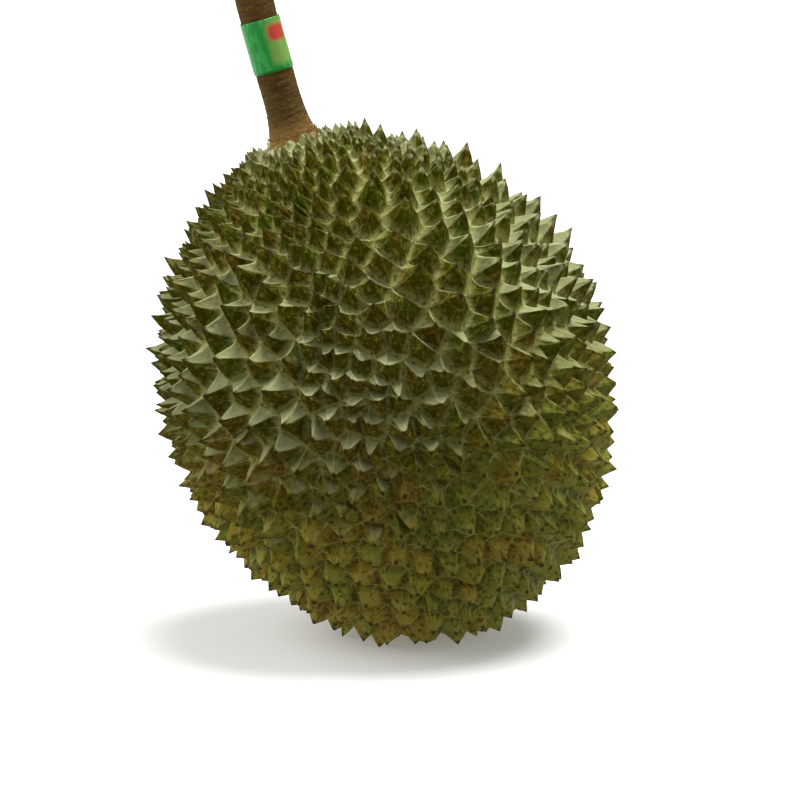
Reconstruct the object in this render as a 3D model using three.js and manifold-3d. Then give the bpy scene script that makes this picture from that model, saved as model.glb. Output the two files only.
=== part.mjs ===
// A whole ripe durian: the spiny husk, the woody stem that it hung from, and a band of plastic tape
// wrapped round that stem. Millimetres, +Z up. The fruit stands on the tips of its lowest spines with
// its axis leaning towards -X. The origin is the worn flat tip of the lowest spine, on the surface
// that the fruit stands on. The front is -Y.

import * as THREE from "three";
import { ConvexHull } from "three/addons/math/ConvexHull.js";
import { mergeVertices } from "three/addons/utils/BufferGeometryUtils.js";
import Module from "manifold-3d";

// ---- Driving dimensions, mm and degrees ----

const fruitWidth = 184; // over the spine tips, across the axis
const fruitLength = 217.5; // over the spine tips, along the axis
const leanDeg = 22.5; // of the fruit's axis from upright, towards -X

// Along the fruit, by the angle from the stem end: [degrees, mm].
const spineSpacing = [
  [0, 4], [12, 4.6], [25, 6.7], [45, 9.8], [60, 11.2], [100, 11.4], [130, 12.2], [155, 12], [180, 9.5],
];
const spineHeight = [
  [0, 2.5], [12, 4], [24, 7], [45, 9.6], [70, 9.2], [100, 7.6], [130, 6.8], [160, 6.5], [180, 6.5],
];
const heightSpread = 0.26; // of a spine's height, up or down
const placeJitter = 0.28; // of the spacing, how far a spine strays from the even lattice
const spineLeanDeg = 16; // of the spines halfway up to the stem, towards it; less further down
const tipAtSeed = 0.5; // share of the way from the middle of a spine's base to its own lattice point

const belowEquator = 110; // from the rind's widest place to its far end, over the tips
const shoulderTaper = 0.133; // how much slimmer the upper half becomes than an ellipsoid
const crownRise = 7; // of the rind round the stem over that ellipsoid
const crownReachDeg = 20; // how far from the stem that rise spreads

const lobes = 5; // one for each seed chamber
const lobeRise = 1.5; // of a lobe's crest over the mean rind
const lobeCrowding = 0.11; // how much closer the spines stand in the seams, most so in the upper half
const frontSeamDeg = -4; // where the seam nearest the front runs, from the front towards +X

const flankCurve = 1.35; // 1 is a straight flank, more is hollow
const ringAt = 0.44; // how far up a hollow flank its ring of extra corners lies
const hollowFromDeg = 56; // spines nearer to the stem end than this have straight flanks
const hollowToDeg = 107; // and so have those beyond this
const shortestEdge = 1.6; // base corners closer than this become one

const seatRadius = 11; // of the socket that the stem's foot stands in
const seatDepth = 3.5; // of that socket below the rind
const socketReach = 40; // of the round cut that makes the socket, bottom to top
const collarPoints = 13; // lattice points inside the ring of spines nearest the stem
const collarPlace = 8.6; // their distance from the axis
const firstSpinePlace = 13.4; // distance from the axis of the spines nearest the stem

const restCut = 4.2; // worn off the lowest spine, and off all that reach as low
const gap = 0.3; // between pieces that touch

const stemLength = 76; // from its foot to its rounded end
const stemRadius = 7.6; // at mid length
const stemShift = 4.7; // of its foot from the fruit's pole, towards +X
const stemLeanDeg = 16.2; // of its foot from upright, towards -X
const stemBendDeg = 1.5; // that it straightens up by, over its length
const footRadius = seatRadius - gap; // where it flares into the fruit
const footRise = 19; // length of that flare
const knobRadius = 8.3; // of the swollen end where it dropped from the branch
const knobRise = 9; // length over which it swells
const domeRise = 7; // of its rounded end
const stemSides = 28;

const tapeWidth = 22.5;
const tapeLow = 29; // lower edge of the tape, along the stem from its foot
const tapeThickness = 0.7;

// ---- Small helpers ----

const rad = THREE.MathUtils.degToRad;
const deg = THREE.MathUtils.radToDeg;
const golden = Math.PI * (3 - Math.sqrt(5));

function seededRandom(state) {
  return () => {
    state = (state * 1664525 + 1013904223) % 4294967296;
    return state / 4294967296;
  };
}

// Value at x of the line through the stations [x, value].
function along(stations, x) {
  const next = stations.findIndex(([at]) => at >= x);
  if (next < 0) return stations.at(-1)[1];
  if (next === 0) return stations[0][1];
  const [[x0, y0], [x1, y1]] = [stations[next - 1], stations[next]];
  return y0 + ((y1 - y0) * (x - x0)) / (x1 - x0);
}

// ---- The rind under the spines, in the fruit's own frame: axis on +Z, stem end up ----

const rindRadius = fruitWidth / 2 - along(spineHeight, 90);
const rindToStem = fruitLength - belowEquator - along(spineHeight, 0);
const rindToFarEnd = belowEquator - along(spineHeight, 180);
const upperStretch = new THREE.Vector3(rindRadius, rindRadius, rindToStem - crownRise);
const lowerStretch = new THREE.Vector3(rindRadius, rindRadius, rindToFarEnd);
const stretchAt = (unit) => (unit.z > 0 ? upperStretch : lowerStretch);
const angleFromStem = (unit) => deg(Math.acos(THREE.MathUtils.clamp(unit.z, -1, 1)));
const turnFromFront = (unit) => Math.atan2(unit.x, -unit.y);

// Point of the rind for a direction of the unit sphere.
function rindPoint(unit) {
  const crest = -Math.cos(lobes * (turnFromFront(unit) - rad(frontSeamDeg)));
  const swell = 1 + (crest * lobeRise * Math.hypot(unit.x, unit.y)) / rindRadius;
  const girth = swell * (1 - shoulderTaper * Math.max(0, unit.z) ** 2);
  const point = new THREE.Vector3(unit.x * girth, unit.y * girth, unit.z).multiply(stretchAt(unit));
  point.z += crownRise * Math.exp(-((angleFromStem(unit) / crownReachDeg) ** 2));
  return point;
}

function rindNormal(unit) {
  return unit.clone().divide(stretchAt(unit)).normalize();
}

// ---- Where the spines stand ----

// Number of spines between the stem end and each degree of the way to the far end: [count, degree].
function spineCounts() {
  const counts = [[0, 0]];
  for (let degree = 1; degree <= 180; degree++) {
    const middle = degree - 0.5;
    const t = rad(middle);
    const girth = 2 * Math.PI * rindRadius * Math.sin(t);
    const halfLength = middle < 90 ? rindToStem : rindToFarEnd;
    const stripWidth = rad(1) * Math.hypot(rindRadius * Math.cos(t), halfLength * Math.sin(t));
    const cell = (Math.sqrt(3) / 2) * along(spineSpacing, middle) ** 2;
    counts.push([counts.at(-1)[0] + (girth * stripWidth) / cell, degree]);
  }
  return counts;
}

function unitAt(degrees, turn) {
  const t = rad(degrees);
  return new THREE.Vector3(Math.sin(t) * Math.sin(turn), -Math.sin(t) * Math.cos(turn), Math.cos(t));
}

// An even spiral with its places jittered and crowded towards the seams, as unit directions. The place
// nearest to the given direction moves there and comes first.
function spinePlaces(lowest) {
  const random = seededRandom(20);
  const degreeAtCount = spineCounts();
  const countAtDegree = degreeAtCount.map(([count, degree]) => [degree, count]);
  const first = Math.ceil(along(countAtDegree, deg(firstSpinePlace / rindRadius)));
  const last = Math.floor(degreeAtCount.at(-1)[0]);
  const places = [];
  for (let i = first; i <= last; i++) {
    const degrees = along(degreeAtCount, i);
    const even = i * golden;
    const crowding = lobeCrowding * THREE.MathUtils.clamp(0.6 + Math.cos(rad(degrees)), 0.25, 1);
    const crowded = even - crowding * Math.sin(lobes * (even - rad(frontSeamDeg)));
    const reach = (placeJitter * along(spineSpacing, degrees)) / rindRadius;
    const down = degrees + deg((random() * 2 - 1) * reach);
    const across = ((random() * 2 - 1) * reach) / Math.max(0.2, Math.sin(rad(degrees)));
    places.push(unitAt(Math.min(down, 179.5), crowded + across));
  }
  const nearest = places.reduce((best, place) => (place.dot(lowest) > best.dot(lowest) ? place : best));
  nearest.copy(lowest);
  return [nearest, ...places.filter((place) => place !== nearest)];
}

// ---- The husk ----

// The polygon of base corners round each place: the faces of the places' convex hull are the corners.
function baseCorners(places) {
  const hull = new ConvexHull().setFromPoints(places);
  const index = new Map(places.map((place, i) => [place, i]));
  const corners = [];
  const around = places.map(() => []);
  for (const face of hull.faces) {
    const corner = corners.push(face.normal.clone()) - 1;
    const start = face.edge;
    let edge = start;
    do {
      around[index.get(edge.head().point)].push(corner);
      edge = edge.next;
    } while (edge !== start);
  }
  return { corners, around };
}

// Gives each corner the number of the first corner that lies within shortestEdge of it.
function joinCloseCorners(points, around) {
  const joined = points.map((_, i) => i);
  for (const ring of around) {
    for (const a of ring) {
      for (const b of ring) {
        if (points[a].distanceTo(points[b]) < shortestEdge) {
          const low = Math.min(joined[a], joined[b]);
          joined[a] = low;
          joined[b] = low;
        }
      }
    }
  }
  const root = (i) => (joined[i] === i ? i : root(joined[i]));
  return points.map((_, i) => root(i));
}

// Corner numbers in order round the place, counterclockwise from outside, without repeats.
function inOrder(place, ring, corners, joined) {
  const east = new THREE.Vector3(0, 0, 1).cross(place).normalize();
  const north = place.clone().cross(east);
  const bearing = (c) => Math.atan2(corners[c].dot(north), corners[c].dot(east));
  const sorted = [...ring].sort((a, b) => bearing(a) - bearing(b)).map((c) => joined[c]);
  return sorted.filter((c, i) => c !== sorted[(i + 1) % sorted.length]);
}

// Closed geometry of the husk. The collar's places come last, and the first vertex after the base
// corners is the tip of the first place.
function huskShape(places, collarCount) {
  const { corners, around } = baseCorners(places);
  const points = corners.map(rindPoint);
  const joined = joinCloseCorners(points, around);
  const random = seededRandom(7);
  const vertices = points.map((p) => p.clone());
  const triangles = [];
  places.forEach((place, i) => {
    const degrees = angleFromStem(place);
    const ring = inOrder(place, around[i], corners, joined);
    const middle = ring.reduce((sum, c) => sum.add(points[c]), new THREE.Vector3()).divideScalar(ring.length);
    const spread = ring.reduce((sum, c) => sum + points[c].distanceTo(middle), 0) / ring.length;
    const share = 1 + heightSpread * (random() * 2 - 1);
    const fan = (peak) => ring.forEach((c, k) => triangles.push(c, ring[(k + 1) % ring.length], peak));
    if (ring.length < 3) return;
    if (i >= places.length - collarCount) {
      fan(vertices.push(rindPoint(place)) - 1);
      return;
    }
    const usualSpread = 0.6 * along(spineSpacing, degrees);
    const height = along(spineHeight, degrees) * share * Math.sqrt(spread / usualSpread);
    const foot = middle.lerp(rindPoint(place), tipAtSeed);
    const normal = rindNormal(place);
    const toStem = new THREE.Vector3(0, 0, 1).addScaledVector(normal, -normal.z).normalize();
    const upperHalf = Math.max(0, place.z + 0.35);
    const lean = Math.tan(rad(spineLeanDeg)) * Math.sin(rad(degrees)) * upperHalf;
    const onFlank = (from, v) => {
      const rise = height * v ** flankCurve;
      const drift = height * lean * v ** (2 * flankCurve);
      return from.clone().lerp(foot, v).addScaledVector(normal, rise).addScaledVector(toStem, drift);
    };
    const tip = vertices.push(onFlank(foot, 1)) - 1;
    if (degrees < hollowFromDeg || degrees > hollowToDeg) {
      fan(tip);
      return;
    }
    const waist = ring.map((c) => vertices.push(onFlank(points[c], ringAt)) - 1);
    ring.forEach((c, k) => {
      const n = (k + 1) % ring.length;
      triangles.push(c, ring[n], waist[n], c, waist[n], waist[k], waist[k], waist[n], tip);
    });
  });
  const geometry = new THREE.BufferGeometry().setFromPoints(vertices).setIndex(triangles);
  return { geometry, firstTip: vertices[points.length] };
}

// ---- The stem and its tape, made on +Z and bent alike ----

// Shifts a turned piece along +X as the stem straightens up.
function bend(geometry) {
  const position = geometry.getAttribute("position");
  for (let i = 0; i < position.count; i++) {
    const z = position.getZ(i);
    const shift = (Math.tan(rad(stemBendDeg)) * z * z) / (2 * stemLength);
    position.setX(i, position.getX(i) + shift);
  }
  return geometry;
}

function turned(profile) {
  return bend(new THREE.LatheGeometry(profile, stemSides).rotateX(Math.PI / 2));
}

// Radius of the stem at a height over its foot: a flare, a slight waist and a swollen end.
function stemRadiusAt(z) {
  const flare = (footRadius - stemRadius) * Math.max(0, 1 - z / footRise) ** 2;
  const knobTop = stemLength - domeRise;
  const swell = (knobRadius - stemRadius) * THREE.MathUtils.smoothstep(z, knobTop - knobRise, knobTop);
  return stemRadius + flare + swell;
}

function stemShape() {
  const knobTop = stemLength - domeRise;
  const knobLow = knobTop - knobRise;
  const flareHeights = [0, 0.15, 0.3, 0.5, 0.75, 1].map((share) => share * footRise);
  const shaftHeights = [0.25, 0.5, 0.75, 1].map((share) => footRise + share * (knobLow - footRise));
  const knobHeights = [0.35, 0.7, 1].map((share) => knobLow + share * knobRise);
  const heights = [...flareHeights, ...shaftHeights, ...knobHeights];
  const profile = [new THREE.Vector2(0, 0), ...heights.map((z) => new THREE.Vector2(stemRadiusAt(z), z))];
  for (const domeDeg of [18, 36, 54, 72]) {
    const [out, up] = [Math.cos(rad(domeDeg)), Math.sin(rad(domeDeg))];
    profile.push(new THREE.Vector2(knobRadius * out, knobTop + domeRise * up));
  }
  profile.push(new THREE.Vector2(0, stemLength));
  return turned(profile);
}

function tapeShape() {
  const inner = [];
  const outer = [];
  for (const share of [0, 1 / 3, 2 / 3, 1]) {
    const z = tapeLow + tapeWidth * share;
    inner.push(new THREE.Vector2(stemRadiusAt(z) + gap, z));
    outer.push(new THREE.Vector2(stemRadiusAt(z) + gap + tapeThickness, z));
  }
  return turned([...outer, ...inner.reverse(), outer[0]]);
}

// ---- Solids ----

const wasm = await Module();
wasm.setup();

function toSolid(geometry) {
  geometry.deleteAttribute("normal");
  geometry.deleteAttribute("uv");
  const merged = mergeVertices(geometry, 1e-4);
  const vertProperties = merged.getAttribute("position").array;
  const triVerts = new Uint32Array(merged.index.array);
  return new wasm.Manifold(new wasm.Mesh({ numProp: 3, vertProperties, triVerts }));
}

function toGeometry(solid) {
  const { vertProperties, triVerts } = solid.getMesh();
  const geometry = new THREE.BufferGeometry();
  geometry.setAttribute("position", new THREE.BufferAttribute(vertProperties, 3));
  return geometry.setIndex(new THREE.BufferAttribute(triVerts, 1));
}

// ---- The durian ----

const leaning = new THREE.Quaternion().setFromAxisAngle(new THREE.Vector3(0, 1, 0), rad(-leanDeg));
const down = new THREE.Vector3(0, 0, -1).applyQuaternion(leaning.clone().invert());
const lowest = down.clone().multiply(lowerStretch).normalize();
const collar = Array.from({ length: collarPoints }, (_, i) =>
  unitAt(deg(collarPlace / rindRadius), (i * 2 * Math.PI) / collarPoints));
const { geometry: huskGeometry, firstTip } = huskShape([...spinePlaces(lowest), ...collar], collarPoints);

// The tip that points down would reach restCut below the surface, under the origin.
const tipDown = firstTip.clone().applyQuaternion(leaning);
const stand = new THREE.Vector3(-tipDown.x, -tipDown.y, -tipDown.z - restCut);
huskGeometry.applyQuaternion(leaning).translate(...stand);

// The stem leans a little less than the fruit.
const pole = new THREE.Vector3(stemShift, 0, rindToStem).applyQuaternion(leaning).add(stand);
const stemLeaning = new THREE.Quaternion().setFromAxisAngle(new THREE.Vector3(0, 1, 0), rad(-stemLeanDeg));
const onStem = (geometry, height) =>
  geometry.translate(0, 0, height).applyQuaternion(stemLeaning).translate(...pole);

const drill = new THREE.CylinderGeometry(seatRadius, seatRadius, socketReach, stemSides);
const socket = toSolid(onStem(drill.rotateX(Math.PI / 2), socketReach / 2 - seatDepth));
const block = new THREE.BoxGeometry(fruitLength, fruitLength, fruitLength);
const underSurface = toSolid(block.translate(0, 0, -fruitLength / 2));
const husk = toSolid(huskGeometry).subtract(socket).subtract(underSurface);

const durian = new THREE.Group();

function addPiece(name, geometry, colour, roughness) {
  const material = new THREE.MeshStandardMaterial({ color: colour, roughness, metalness: 0 });
  const mesh = new THREE.Mesh(geometry, material);
  mesh.name = name;
  durian.add(mesh);
}

addPiece("husk", toGeometry(husk), "#6b6a39", 0.7);
addPiece("stem", onStem(stemShape(), gap - seatDepth), "#5a4128", 0.85);
addPiece("stem_tape", onStem(tapeShape(), gap - seatDepth), "#2f9a44", 0.35);

export default durian;
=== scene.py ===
"""Dresses a whole durian: a thorny olive rind, a barky stem and a band of printed film round the stem.

The shapes are worked out in millimetres and turned into metres when a mesh is made. The rind's spines
stand on the same lattice as the solid husk's, each with a hollow-flanked, ridged thorn of its own.
"""

import logging
import math
from dataclasses import dataclass, field
from enum import Enum
from typing import Any, Callable, Sequence

import bmesh
import bpy
import numpy as np
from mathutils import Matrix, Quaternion, Vector, noise

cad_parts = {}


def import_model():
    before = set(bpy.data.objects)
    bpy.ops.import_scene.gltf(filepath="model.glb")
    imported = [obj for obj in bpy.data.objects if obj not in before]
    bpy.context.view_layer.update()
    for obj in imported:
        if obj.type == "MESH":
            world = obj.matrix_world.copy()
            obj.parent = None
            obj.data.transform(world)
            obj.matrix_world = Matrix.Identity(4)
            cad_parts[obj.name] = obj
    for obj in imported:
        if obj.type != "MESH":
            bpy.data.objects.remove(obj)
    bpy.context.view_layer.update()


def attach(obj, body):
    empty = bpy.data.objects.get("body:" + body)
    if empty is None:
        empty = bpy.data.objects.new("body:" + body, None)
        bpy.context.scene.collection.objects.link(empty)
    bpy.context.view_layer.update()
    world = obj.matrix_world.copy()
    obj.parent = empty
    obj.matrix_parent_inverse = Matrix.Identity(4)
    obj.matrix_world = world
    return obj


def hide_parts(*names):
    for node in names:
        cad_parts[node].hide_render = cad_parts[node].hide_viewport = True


MM = 0.001
GOLDEN_ANGLE = math.pi * (3 - math.sqrt(5))
MIX_A, MIX_B, MIX_COLOUR = 6, 7, 2

Stations = Sequence[tuple[float, float]]
Patterns = dict[str, bpy.types.NodeSocket]
Colour = bpy.types.NodeSocket | tuple[float, float, float, float]
log = logging.getLogger("durian")


# ---- Helpers ------------------------------------------------------------------------------------


def linear(code: str) -> tuple[float, float, float, float]:
    """Turns an sRGB hex colour into linear red, green, blue and alpha.

    Args:
        code: the colour as "#rrggbb".

    Returns:
        Its linear components, with alpha 1.
    """
    parts = [int(code[i : i + 2], 16) / 255 for i in (1, 3, 5)]
    red, green, blue = (p / 12.92 if p <= 0.04045 else ((p + 0.055) / 1.055) ** 2.4 for p in parts)
    return red, green, blue, 1.0


def per_metre(size_mm: float) -> float:
    """Scale of a pattern on Object coordinates whose features are size_mm across."""
    return 1 / (size_mm * MM)


def add_node(tree: bpy.types.NodeTree, kind: str, inputs: dict | None = None, **settings: Any) -> bpy.types.Node:
    """Adds a node to a tree with its settings, and fills or links its inputs.

    Args:
        tree: the node tree that gets the node.
        kind: the node's type name.
        inputs: socket name or number to a value, or to the output socket that it is linked from.
        **settings: the node's own properties.

    Returns:
        The new node.
    """
    node = tree.nodes.new(kind)
    for name, value in settings.items():
        setattr(node, name, value)
    for key, value in (inputs or {}).items():
        if isinstance(value, bpy.types.NodeSocket):
            tree.links.new(value, node.inputs[key])
        else:
            node.inputs[key].default_value = value
    return node


def along(stations: Stations, x: float) -> float:
    """Value at x of the line through the stations, each a place and its value."""
    return float(np.interp(x, [s[0] for s in stations], [s[1] for s in stations]))


def seeded_random(state: int) -> Callable[[], float]:
    """Makes a generator of even random numbers from 0 to 1 that is the same on every machine.

    Args:
        state: the seed.

    Returns:
        A function that gives the next number.
    """

    def draw() -> float:
        """Draws the next number.

        Returns:
            The number, from 0 to 1.
        """
        nonlocal state
        state = (state * 1664525 + 1013904223) % 4294967296
        return state / 4294967296

    return draw


def make_object(name: str, points: np.ndarray, faces: list, smooth: bool = True) -> bpy.types.Object:
    """Makes a mesh object from points in millimetres.

    Args:
        name: the object's name.
        points: one row of x, y and z for each vertex.
        faces: vertex numbers of each face, counterclockwise from outside.
        smooth: whether its faces are shaded smooth.

    Returns:
        The object, at the origin.
    """
    mesh = bpy.data.meshes.new(name)
    mesh.from_pydata((np.asarray(points) * MM).tolist(), [], faces)
    mesh.polygons.foreach_set("use_smooth", [smooth] * len(mesh.polygons))
    mesh.update()
    made = bpy.data.objects.new(name, mesh)
    bpy.context.scene.collection.objects.link(made)
    return made


def set_attribute(target: bpy.types.Object, name: str, values: Sequence[float], domain: str = "POINT") -> None:
    """Writes one number for each vertex or face corner.

    Args:
        target: the mesh object.
        name: the attribute's name.
        values: the numbers.
        domain: POINT or CORNER.
    """
    target.data.attributes.new(name, "FLOAT", domain).data.foreach_set("value", values)


@dataclass
class Growth:
    """A Geometry Nodes tree that grows small things on a mesh, with their sizes as its named inputs."""

    name: str
    sizes: dict[str, float]
    tree: bpy.types.NodeTree = field(init=False)
    given: bpy.types.NodeOutputs = field(init=False)

    def __post_init__(self) -> None:
        """Starts the tree with its inputs and its output."""
        self.tree = bpy.data.node_groups.new(self.name, "GeometryNodeTree")
        self.tree.interface.new_socket("Ground", in_out="INPUT", socket_type="NodeSocketGeometry")
        for label in self.sizes:
            self.tree.interface.new_socket(label, in_out="INPUT", socket_type="NodeSocketFloat")
        self.tree.interface.new_socket("Grown", in_out="OUTPUT", socket_type="NodeSocketGeometry")
        self.given = add_node(self.tree, "NodeGroupInput").outputs

    def run(
        self, ground: bpy.types.Object, grown: bpy.types.NodeSocket, material: bpy.types.Material
    ) -> bpy.types.Object:
        """Ends the tree in real geometry with its finish, and runs it.

        Args:
            ground: the object that the things grow on, which stays as it is.
            grown: the tree's instances.
            material: their finish.

        Returns:
            What grew, as a plain mesh object with the growth's name.
        """
        real = add_node(self.tree, "GeometryNodeRealizeInstances", {"Geometry": grown}).outputs["Geometry"]
        smooth = add_node(self.tree, "GeometryNodeSetShadeSmooth", {"Geometry": real}).outputs["Geometry"]
        dressed = add_node(self.tree, "GeometryNodeSetMaterial", {"Geometry": smooth, "Material": material})
        add_node(self.tree, "NodeGroupOutput", {0: dressed.outputs["Geometry"]})
        start = bpy.data.objects.new("start", ground.data.copy())
        bpy.context.scene.collection.objects.link(start)
        modifier = start.modifiers.new("grow", "NODES")
        modifier.node_group = self.tree
        for label, size in self.sizes.items():
            modifier[self.tree.interface.items_tree[label].identifier] = size
        graph = bpy.context.evaluated_depsgraph_get()
        mesh = bpy.data.meshes.new_from_object(start.evaluated_get(graph), depsgraph=graph)
        start.modifiers.remove(modifier)
        bpy.data.objects.remove(start)
        mesh.name = self.name
        made = bpy.data.objects.new(self.name, mesh)
        bpy.context.scene.collection.objects.link(made)
        return made


# ---- Finishes -----------------------------------------------------------------------------------


class Slot(Enum):
    """The record's material slots."""

    RIND = "rind"
    BARK = "stem_bark"
    FILM = "tape_film"


def new_surface(name: str) -> tuple[bpy.types.Material, bpy.types.NodeTree]:
    """Makes a material with an empty tree.

    Args:
        name: the material's name.

    Returns:
        The material and its tree.
    """
    material = bpy.data.materials.new(name)
    material.use_nodes = True
    material.node_tree.nodes.clear()
    return material, material.node_tree


def end_surface(tree: bpy.types.NodeTree, inputs: dict[str, Any]) -> None:
    """Ends a material's tree with its shader and output.

    Args:
        tree: the tree.
        inputs: the Principled shader's inputs, each a value or the output socket that it is linked from.
    """
    shader = add_node(tree, "ShaderNodeBsdfPrincipled", inputs)
    add_node(tree, "ShaderNodeOutputMaterial", {"Surface": shader.outputs["BSDF"]})


@dataclass(frozen=True)
class Measure:
    """A weighted sum of a surface's named patterns."""

    weights: dict[str, float]

    def total(self, tree: bpy.types.NodeTree, patterns: Patterns) -> bpy.types.NodeSocket:
        """Adds up the patterns, each times its weight.

        Args:
            tree: the node tree.
            patterns: the surface's patterns.

        Returns:
            The sum.
        """
        total = 0.0
        for name, weight in self.weights.items():
            terms = {0: patterns[name], 1: weight, 2: total}
            total = add_node(tree, "ShaderNodeMath", terms, operation="MULTIPLY_ADD").outputs[0]
        return total


@dataclass(frozen=True)
class Layer:
    """A colour that covers what is under it where a measure passes from one value to another."""

    colour: str
    measure: Measure
    bare: float  # the measure where it covers nothing
    full: float  # the measure where it covers most
    most: float = 1.0

    def lay(self, tree: bpy.types.NodeTree, under: Colour, patterns: Patterns) -> bpy.types.NodeSocket:
        """Lays the colour over another.

        Args:
            tree: the node tree.
            under: the colour underneath, linear.
            patterns: the surface's patterns.

        Returns:
            The mixed colour.
        """
        ends = sorted([(self.bare, 0.0), (self.full, self.most)])
        span = {"From Min": ends[0][0], "From Max": ends[1][0], "To Min": ends[0][1], "To Max": ends[1][1]}
        there = self.measure.total(tree, patterns)
        cover = add_node(tree, "ShaderNodeMapRange", {"Value": there, **span}).outputs["Result"]
        mixed = {0: cover, MIX_A: under, MIX_B: linear(self.colour)}
        return add_node(tree, "ShaderNodeMix", mixed, data_type="RGBA").outputs[MIX_COLOUR]


@dataclass(frozen=True)
class Palette:
    """Three colours that a surface wanders between, and the measure that it does so by."""

    colours: tuple[str, str, str]
    measure: Measure
    first: float  # the measure where the first colour is
    last: float  # the measure where the last colour is

    def spread(self, tree: bpy.types.NodeTree, patterns: Patterns) -> bpy.types.NodeSocket:
        """Colours the surface.

        Args:
            tree: the node tree.
            patterns: the surface's patterns.

        Returns:
            The colour.
        """
        span = {"From Min": self.first, "From Max": self.last}
        there = self.measure.total(tree, patterns)
        share = add_node(tree, "ShaderNodeMapRange", {"Value": there, **span}).outputs["Result"]
        ramp = add_node(tree, "ShaderNodeValToRGB", {"Fac": share})
        ramp.color_ramp.elements.new(0.5)
        for stop, colour in zip(ramp.color_ramp.elements, self.colours):
            stop.color = linear(colour)
        return ramp.outputs["Color"]


@dataclass(frozen=True)
class Relief:
    """Bumps of one kind on a surface: their pattern, their real depth and how strongly they show."""

    pattern: str
    depth_mm: float
    strength: float = 1.0


def emboss(tree: bpy.types.NodeTree, reliefs: Sequence[Relief], patterns: Patterns) -> bpy.types.NodeSocket:
    """Stacks a surface's bumps, each on the ones before it.

    Args:
        tree: the node tree.
        reliefs: the kinds of bump.
        patterns: the surface's patterns.

    Returns:
        The normal of them all.
    """
    under = {}
    for relief in reliefs:
        bump = {"Height": patterns[relief.pattern], "Distance": relief.depth_mm * MM, "Strength": relief.strength}
        under = {"Normal": add_node(tree, "ShaderNodeBump", bump | under).outputs["Normal"]}
    return under["Normal"]


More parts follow.
